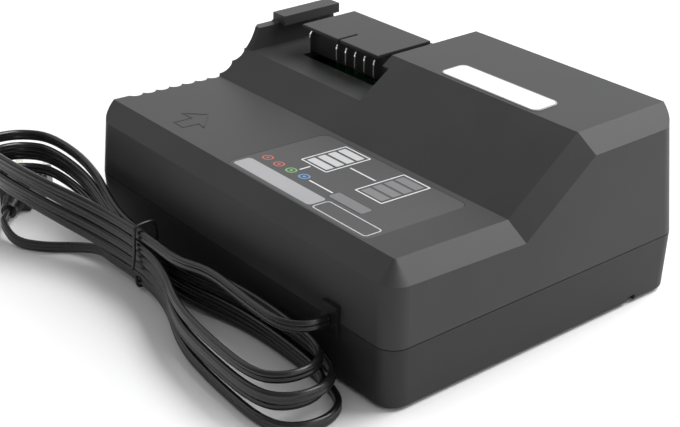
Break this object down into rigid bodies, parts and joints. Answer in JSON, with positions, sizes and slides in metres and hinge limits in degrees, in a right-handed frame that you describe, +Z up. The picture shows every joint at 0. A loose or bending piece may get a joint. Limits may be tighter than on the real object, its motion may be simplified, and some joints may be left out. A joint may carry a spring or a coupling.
{
  "type": "power tool battery charger",
  "caption": "Desktop charger for slide-in power tool battery packs: two-part dark plastic housing with dock, terminals, indicator panel, inner electronics and a tied mains cord.",
  "frame": {"origin": "centre of the housing's footprint, on the surface it stands on", "axes": "+X along the long front face to the right, +Y from the front face to the back, +Z up"},
  "size_m": [0.2564, 0.1883, 0.0765],
  "materials": {
    "housing_upper": "fine textured",
    "housing_lower": "fine textured",
    "screw_steel": "zinc plated",
    "foot_rubber": "matte",
    "terminal_block": "fine textured",
    "contact_metal": "bright plated",
    "board_laminate": "solder masked",
    "bobbin_plastic": "moulded",
    "ferrite": "matte sintered",
    "winding_tape": "wrapped tape",
    "capacitor_sleeve": "heat-shrunk sleeve",
    "capacitor_sleeve_green": "heat-shrunk sleeve",
    "film_case": "moulded",
    "sink_metal": "extruded",
    "device_epoxy": "moulded epoxy",
    "fuse_glass": "clear",
    "clip_brass": "plated",
    "choke_copper": "enamelled copper",
    "label_face": "satin film",
    "lens_smoke": "smoky clear",
    "light_epoxy": "clear epoxy",
    "badge_face": "satin film",
    "lead_red": "insulated wire",
    "ribbon_grey": "flat ribbon",
    "cord_rubber": "satin",
    "lead_black": "insulated wire",
    "tie_plastic": "coated wire",
    "plug_rubber": "satin moulded",
    "prong_metal": "nickel plated"
  },
  "bodies": {
    "root": {"upper_shell": "housing_upper", "lower_shell": "housing_lower", "case_screws": "screw_steel", "rubber_feet": "foot_rubber", "terminal_block": "terminal_block", "terminal_blades": "contact_metal", "terminal_board": "board_laminate", "circuit_board": "board_laminate", "board_screws": "screw_steel", "transformer_base": "bobbin_plastic", "transformer_core": "ferrite", "transformer_winding": "winding_tape", "bulk_capacitor": "capacitor_sleeve", "output_capacitors": "capacitor_sleeve_green", "film_capacitor": "film_case", "heat_sink": "sink_metal", "power_devices": "device_epoxy", "fuse": "fuse_glass", "fuse_clips": "clip_brass", "line_choke": "choke_copper", "control_chip": "device_epoxy", "panel_label": "label_face", "indicator_lens": "lens_smoke", "indicator_board": "board_laminate", "indicator_lights": "light_epoxy", "badge_label": "badge_face", "battery_leads": "lead_red", "indicator_ribbon": "ribbon_grey", "strain_relief": "cord_rubber", "mains_leads": "lead_black", "cord_hank": "cord_rubber", "cord_lead": "cord_rubber", "cord_tail": "cord_rubber", "twist_tie": "tie_plastic", "plug_body": "plug_rubber", "plug_blades": "prong_metal"}
  },
  "joints": []
}
